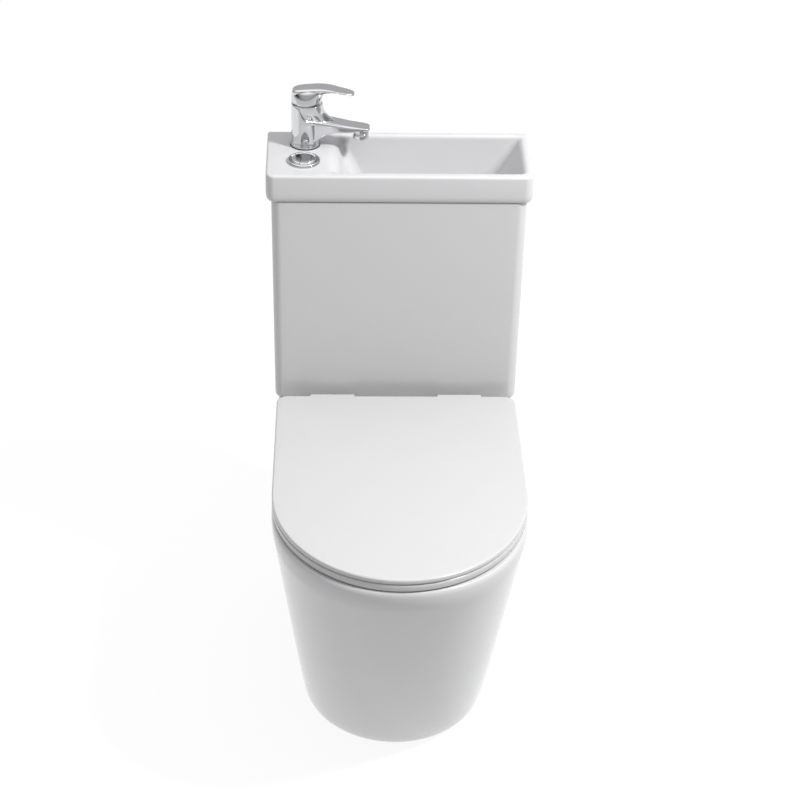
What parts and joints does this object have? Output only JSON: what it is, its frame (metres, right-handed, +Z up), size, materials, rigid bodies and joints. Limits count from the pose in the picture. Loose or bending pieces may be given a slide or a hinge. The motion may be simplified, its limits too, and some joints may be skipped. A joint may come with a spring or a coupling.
{
  "type": "close-coupled toilet with basin on the cistern",
  "caption": "Close-coupled toilet: back-to-wall pan with a hinged seat and lid, a tapering cistern, and a hand basin with a side lever tap and push-button flush as its lid.",
  "frame": {"origin": "on the floor, under the centre of the whole object", "axes": "+Z up, +Y towards the wall behind, +X to the right of someone facing the toilet"},
  "size_m": [0.384, 0.634, 0.8762],
  "materials": {
    "china": "glazed",
    "seat_plastic": "gloss",
    "buffer_rubber": "matt",
    "hinge_metal": "polished",
    "seal_rubber": "matt",
    "white_plastic": "satin",
    "blue_plastic": "satin",
    "red_plastic": "satin",
    "brass": "satin",
    "steel": "brushed",
    "chrome": "polished",
    "copper": "satin"
  },
  "bodies": {
    "fixture": {"pan": "china", "pan_bowl": "china", "pan_waterway": "china", "cistern": "china", "basin": "china", "hinge_posts": "hinge_metal", "hinge_pins": "steel", "hinge_bolts": "steel", "hinge_nuts": "white_plastic", "coupling_gasket": "seal_rubber", "cistern_bolts": "brass", "cistern_wing_nuts": "brass", "bolt_washers": "seal_rubber", "flush_valve_base": "white_plastic", "flush_valve_washer": "seal_rubber", "flush_valve_backnut": "white_plastic", "flush_valve_tower": "white_plastic", "rocker_axle": "steel", "button_bezel": "chrome", "button_nut": "white_plastic", "fill_valve_column": "white_plastic", "fill_valve_washer": "seal_rubber", "fill_valve_backnut": "white_plastic", "fill_valve_head": "white_plastic", "float_lever_pin": "steel", "waste_flange": "chrome", "waste_washer": "seal_rubber", "waste_nut": "brass", "tap_body": "chrome", "tap_base_seal": "seal_rubber", "aerator": "chrome", "tap_cartridge": "white_plastic", "cartridge_nut": "brass", "tap_stud": "brass", "tap_horseshoe": "steel", "tap_nut": "brass", "tap_tails": "copper", "floor_brackets": "steel", "bracket_screws": "steel", "screw_caps": "chrome"},
    "ring": {"seat_ring": "seat_plastic", "ring_buffers": "buffer_rubber"},
    "lid": {"seat_lid": "seat_plastic", "lid_buffers": "buffer_rubber"},
    "full_button": {"full_flush_button": "chrome", "full_push_rod": "red_plastic"},
    "half_button": {"half_flush_button": "chrome", "half_push_rod": "blue_plastic"},
    "full_rocker": {"full_flush_rocker": "red_plastic"},
    "half_rocker": {"half_flush_rocker": "blue_plastic"},
    "flush_tube": {"overflow_tube": "white_plastic", "valve_seal": "seal_rubber"},
    "half_rod": {"half_flush_rod": "blue_plastic"},
    "float": {"float_cup": "blue_plastic"},
    "fill_lever": {"float_lever": "red_plastic"},
    "tap_yoke": {"cartridge_yoke": "white_plastic", "yoke_pin": "steel"},
    "tap_lever": {"cartridge_stem": "brass", "tap_handle": "chrome", "handle_screw_cap": "white_plastic"}
  },
  "joints": [
    {"name": "ring_hinge", "type": "hinge", "parent": "fixture", "child": "ring", "pos_m": [0, 0.149, 0.417], "axis": [-1, 0, 0], "range_deg": [0, 90]},
    {"name": "lid_hinge", "type": "hinge", "parent": "ring", "child": "lid", "pos_m": [0, 0.149, 0.417], "axis": [1, 0, 0], "range_deg": [-91, 0]},
    {"name": "full_press", "type": "slide", "parent": "fixture", "child": "full_button", "axis": [0, 0, -1], "range_m": [0, 0.008], "stiffness_N_per_m": 350, "springref_m": -0.012},
    {"name": "half_press", "type": "slide", "parent": "fixture", "child": "half_button", "axis": [0, 0, -1], "range_m": [0, 0.008], "stiffness_N_per_m": 350, "springref_m": -0.012},
    {"name": "full_rock", "type": "hinge", "parent": "fixture", "child": "full_rocker", "pos_m": [-0.076, 0.222, 0.65], "axis": [0, -1, 0], "range_deg": [0, 8.6]},
    {"name": "half_rock", "type": "hinge", "parent": "fixture", "child": "half_rocker", "pos_m": [-0.076, 0.212, 0.65], "axis": [0, -1, 0], "range_deg": [0, 6.6]},
    {"name": "tube_lift", "type": "slide", "parent": "fixture", "child": "flush_tube", "axis": [0, 0, 1], "range_m": [0, 0.0115]},
    {"name": "half_rod_lift", "type": "slide", "parent": "fixture", "child": "half_rod", "axis": [0, 0, 1], "range_m": [0, 0.0085]},
    {"name": "float_rise", "type": "slide", "parent": "fixture", "child": "float", "axis": [0, 0, 1], "range_m": [0, 0.008]},
    {"name": "fill_lever_tilt", "type": "hinge", "parent": "fixture", "child": "fill_lever", "pos_m": [0.135, 0.226, 0.64], "axis": [0, 1, 0], "range_deg": [0, 19.5]},
    {"name": "tap_turn", "type": "hinge", "parent": "fixture", "child": "tap_yoke", "pos_m": [-0.136, 0.273, 0.8538], "axis": [0, 0, 1], "range_deg": [-45, 30]},
    {"name": "tap_lift", "type": "hinge", "parent": "tap_yoke", "child": "tap_lever", "pos_m": [-0.142, 0.273, 0.8538], "axis": [0, -1, 0], "range_deg": [0, 14]}
  ],
  "couplings": [
    {"joint": "full_rock", "follows": "full_press", "rad_per_m": 18.519},
    {"joint": "tube_lift", "follows": "full_press", "ratio": 1.4074},
    {"joint": "half_rock", "follows": "half_press", "rad_per_m": 14.085},
    {"joint": "half_rod_lift", "follows": "half_press", "ratio": 1.0282},
    {"joint": "fill_lever_tilt", "follows": "float_rise", "rad_per_m": 41.667}
  ]
}
